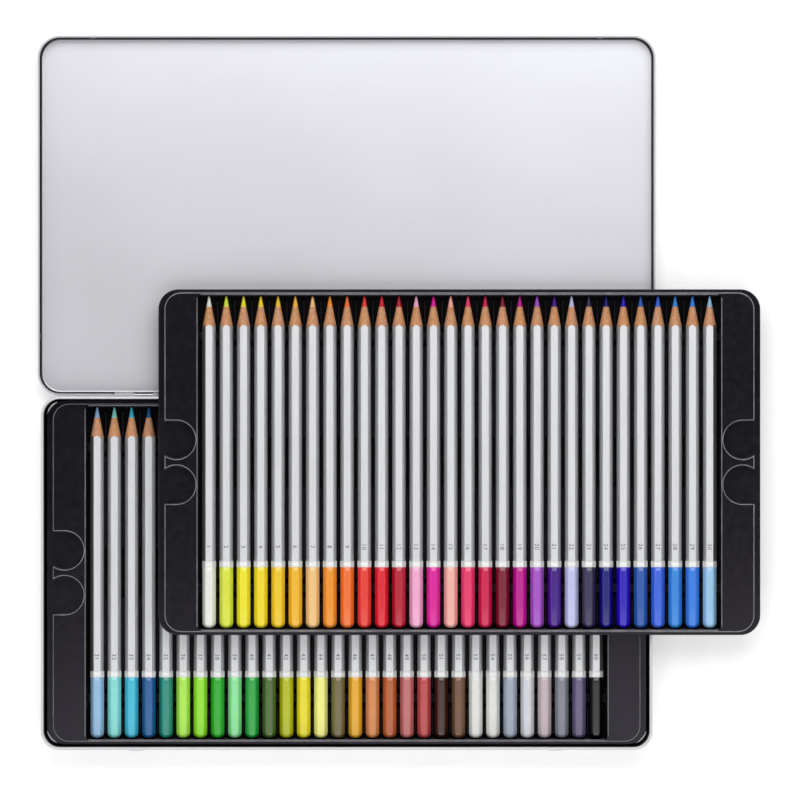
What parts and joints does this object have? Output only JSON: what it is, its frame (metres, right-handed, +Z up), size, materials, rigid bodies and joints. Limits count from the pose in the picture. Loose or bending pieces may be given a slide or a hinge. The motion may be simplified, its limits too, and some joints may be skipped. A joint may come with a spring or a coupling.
{
  "type": "colored pencil tin",
  "caption": "Flat hinged tin with rounded corners, two black lift-out trays and rows of hexagonal coloured pencils, shown open with one tray laid across the rim.",
  "frame": {"origin": "middle of the base's flat underside", "axes": "+X to the right along the tin's length, +Y back towards the hinge, +Z up out of the base"},
  "size_m": [0.3814, 0.3779, 0.0348],
  "materials": {
    "tinplate_outside": "satin silver lacquer on tinplate",
    "tinplate_inside": "satin, clear-lacquered tinplate",
    "hinge_wire": "drawn steel wire",
    "tray_plastic": "black vacuum-formed sheet, soft sheen",
    "pencil_lacquer": "silver-grey gloss lacquer over wood, coloured dipped end"
  },
  "bodies": {
    "tin": {"tin_base": "tinplate_outside", "hinge_pin_left": "hinge_wire", "hinge_pin_right": "hinge_wire", "lower_tray": "tray_plastic", "lower_pencils_01_02": "pencil_lacquer", "lower_pencils_03_04": "pencil_lacquer", "lower_pencils_05_06": "pencil_lacquer", "lower_pencils_07_08": "pencil_lacquer", "lower_pencils_09_10": "pencil_lacquer", "lower_pencils_11_12": "pencil_lacquer", "lower_pencils_13_14": "pencil_lacquer", "lower_pencils_15_16": "pencil_lacquer", "lower_pencils_17_18": "pencil_lacquer", "lower_pencils_19_20": "pencil_lacquer", "lower_pencils_21_22": "pencil_lacquer", "lower_pencils_23_24": "pencil_lacquer", "lower_pencils_25_26": "pencil_lacquer", "lower_pencils_27_28": "pencil_lacquer", "lower_pencils_29_30": "pencil_lacquer"},
    "lid": {"tin_lid": "tinplate_inside"},
    "upper_tray": {"upper_tray": "tray_plastic", "upper_pencil_01": "pencil_lacquer", "upper_pencil_02": "pencil_lacquer", "upper_pencil_03": "pencil_lacquer", "upper_pencil_04": "pencil_lacquer", "upper_pencil_05": "pencil_lacquer", "upper_pencil_06": "pencil_lacquer", "upper_pencil_07": "pencil_lacquer", "upper_pencil_08": "pencil_lacquer", "upper_pencil_09": "pencil_lacquer", "upper_pencil_10": "pencil_lacquer", "upper_pencil_11": "pencil_lacquer", "upper_pencil_12": "pencil_lacquer", "upper_pencil_13": "pencil_lacquer", "upper_pencil_14": "pencil_lacquer", "upper_pencil_15": "pencil_lacquer", "upper_pencil_16": "pencil_lacquer", "upper_pencil_17": "pencil_lacquer", "upper_pencil_18": "pencil_lacquer", "upper_pencil_19": "pencil_lacquer", "upper_pencil_20": "pencil_lacquer", "upper_pencil_21": "pencil_lacquer", "upper_pencil_22": "pencil_lacquer", "upper_pencil_23": "pencil_lacquer", "upper_pencil_24": "pencil_lacquer", "upper_pencil_25": "pencil_lacquer", "upper_pencil_26": "pencil_lacquer", "upper_pencil_27": "pencil_lacquer", "upper_pencil_28": "pencil_lacquer", "upper_pencil_29": "pencil_lacquer", "upper_pencil_30": "pencil_lacquer"}
  },
  "joints": [
    {"name": "lid_hinge", "type": "hinge", "parent": "tin", "child": "lid", "pos_m": [0, 0.0941, 0.01352], "axis": [1, 0, 0], "range_deg": [0, 180]},
    {"name": "tray_slide", "type": "slide", "parent": "tin", "child": "upper_tray", "axis": [0, -1, 0], "range_m": [0, 0.2895]}
  ],
  "couplings": [
    {"joint": "tray_slide", "follows": "lid_hinge", "m_per_rad": 0.092}
  ]
}
